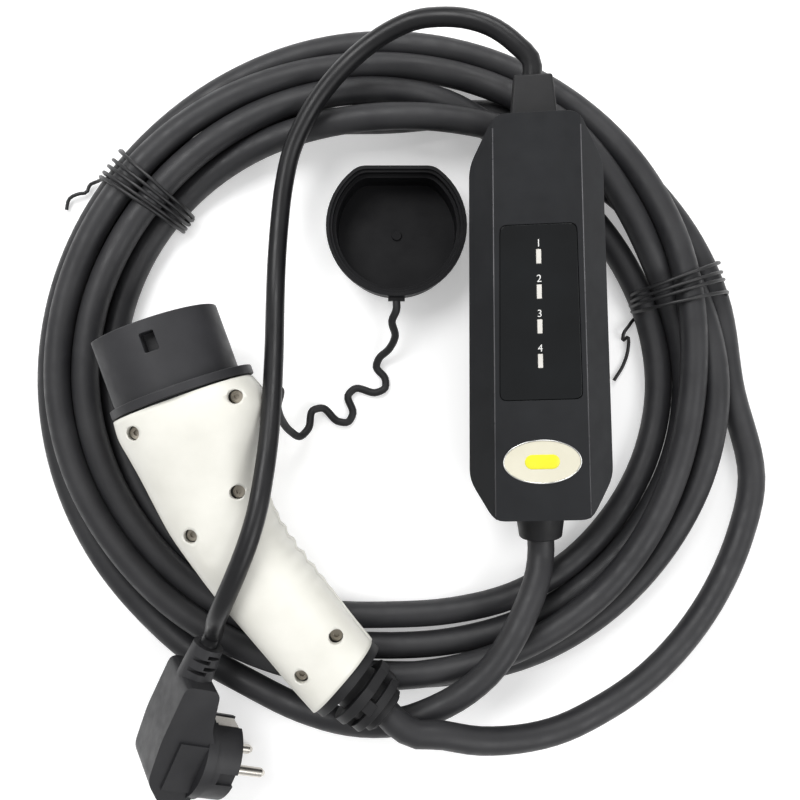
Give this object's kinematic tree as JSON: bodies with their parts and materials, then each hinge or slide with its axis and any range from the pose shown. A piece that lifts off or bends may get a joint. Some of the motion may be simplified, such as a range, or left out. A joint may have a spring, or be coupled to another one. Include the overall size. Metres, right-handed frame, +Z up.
{
  "type": "portable ev charger",
  "caption": "Portable EV charger with a control box, vehicle connector, tethered dust cap, coiled cable and mains plug.",
  "frame": {"origin": "centre of the control box, connector and cap's footprint, on the table they lie on", "axes": "+Z up from the table; +Y from the cable's end of the control box towards its mains end; +X to the right when seen from above"},
  "size_m": [0.357, 0.375, 0.0819],
  "materials": {
    "box_plastic": "matte",
    "window_plastic": "gloss",
    "light_plastic": "satin",
    "badge_plastic": "satin",
    "boot_rubber": "matte",
    "handle_plastic": "satin",
    "nose_plastic": "satin",
    "cable_rubber": "matte",
    "mains_rubber": "satin",
    "plug_plastic": "satin",
    "pin_metal": "polished",
    "contact_metal": "satin",
    "steel_screw": "satin",
    "tie_wire": "matte",
    "board_green": "satin",
    "relay_blue": "satin",
    "sensor_yellow": "satin",
    "core_brown": "satin"
  },
  "bodies": {
    "root": {"front_cover": "box_plastic", "rear_cover": "box_plastic", "cover_gasket": "boot_rubber", "cover_screws": "steel_screw", "indicator_window": "window_plastic", "light_pipes": "light_plastic", "indicator_lamps": "light_plastic", "indicator_board": "board_green", "badge_plate": "badge_plastic", "main_board": "board_green", "board_screws": "steel_screw", "power_relays": "relay_blue", "current_sensor": "sensor_yellow", "power_supply": "light_plastic", "input_terminal": "board_green", "output_terminal": "board_green", "input_cores": "core_brown", "output_cores": "core_brown", "input_boot": "boot_rubber", "output_boot": "boot_rubber", "connector_nose": "nose_plastic", "nose_seal": "boot_rubber", "contact_carrier": "nose_plastic", "power_contacts": "contact_metal", "signal_contacts": "contact_metal", "upper_shell": "handle_plastic", "lower_shell": "handle_plastic", "shell_screws": "steel_screw", "cable_clamp": "nose_plastic", "clamp_screws": "steel_screw", "connector_cores": "core_brown", "connector_boot": "boot_rubber", "dust_cap": "boot_rubber", "cap_tether": "boot_rubber", "cable_coil": "cable_rubber", "cable_box_tail": "cable_rubber", "cable_connector_tail": "cable_rubber", "mains_cord": "mains_rubber", "plug_body": "plug_plastic", "plug_insert": "plug_plastic", "plug_pins": "pin_metal", "earth_strap": "pin_metal", "left_tie": "tie_wire", "right_tie": "tie_wire"}
  },
  "joints": []
}
